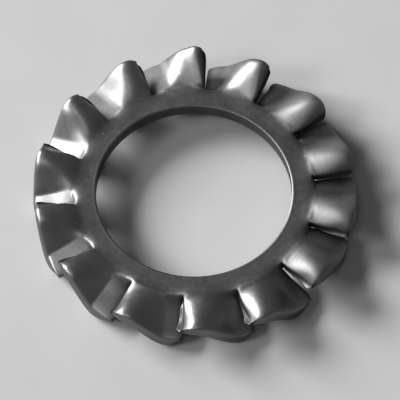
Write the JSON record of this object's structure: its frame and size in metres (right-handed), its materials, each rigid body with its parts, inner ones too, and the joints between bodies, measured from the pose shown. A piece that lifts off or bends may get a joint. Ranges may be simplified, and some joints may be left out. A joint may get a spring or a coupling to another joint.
{
  "type": "toothed lock washer",
  "caption": "Flat steel ring with external teeth twisted into overlapping fins, put under a screw head or a nut so that the fins' edges bite both sides and stop it working loose.",
  "frame": {"origin": "middle of the bore at half the sheet's thickness", "axes": "+Z along the bore, up as the washer lies on a table; +X through the middle of one tooth; the teeth rise clockwise seen from +Z"},
  "size_m": [0.0138, 0.0138, 0.0022],
  "materials": {
    "steel": "dark, plain spring steel, smooth and slightly glossy, with burrs along the sheared edges"
  },
  "bodies": {
    "root": {"lock_washer": "steel"}
  },
  "joints": []
}
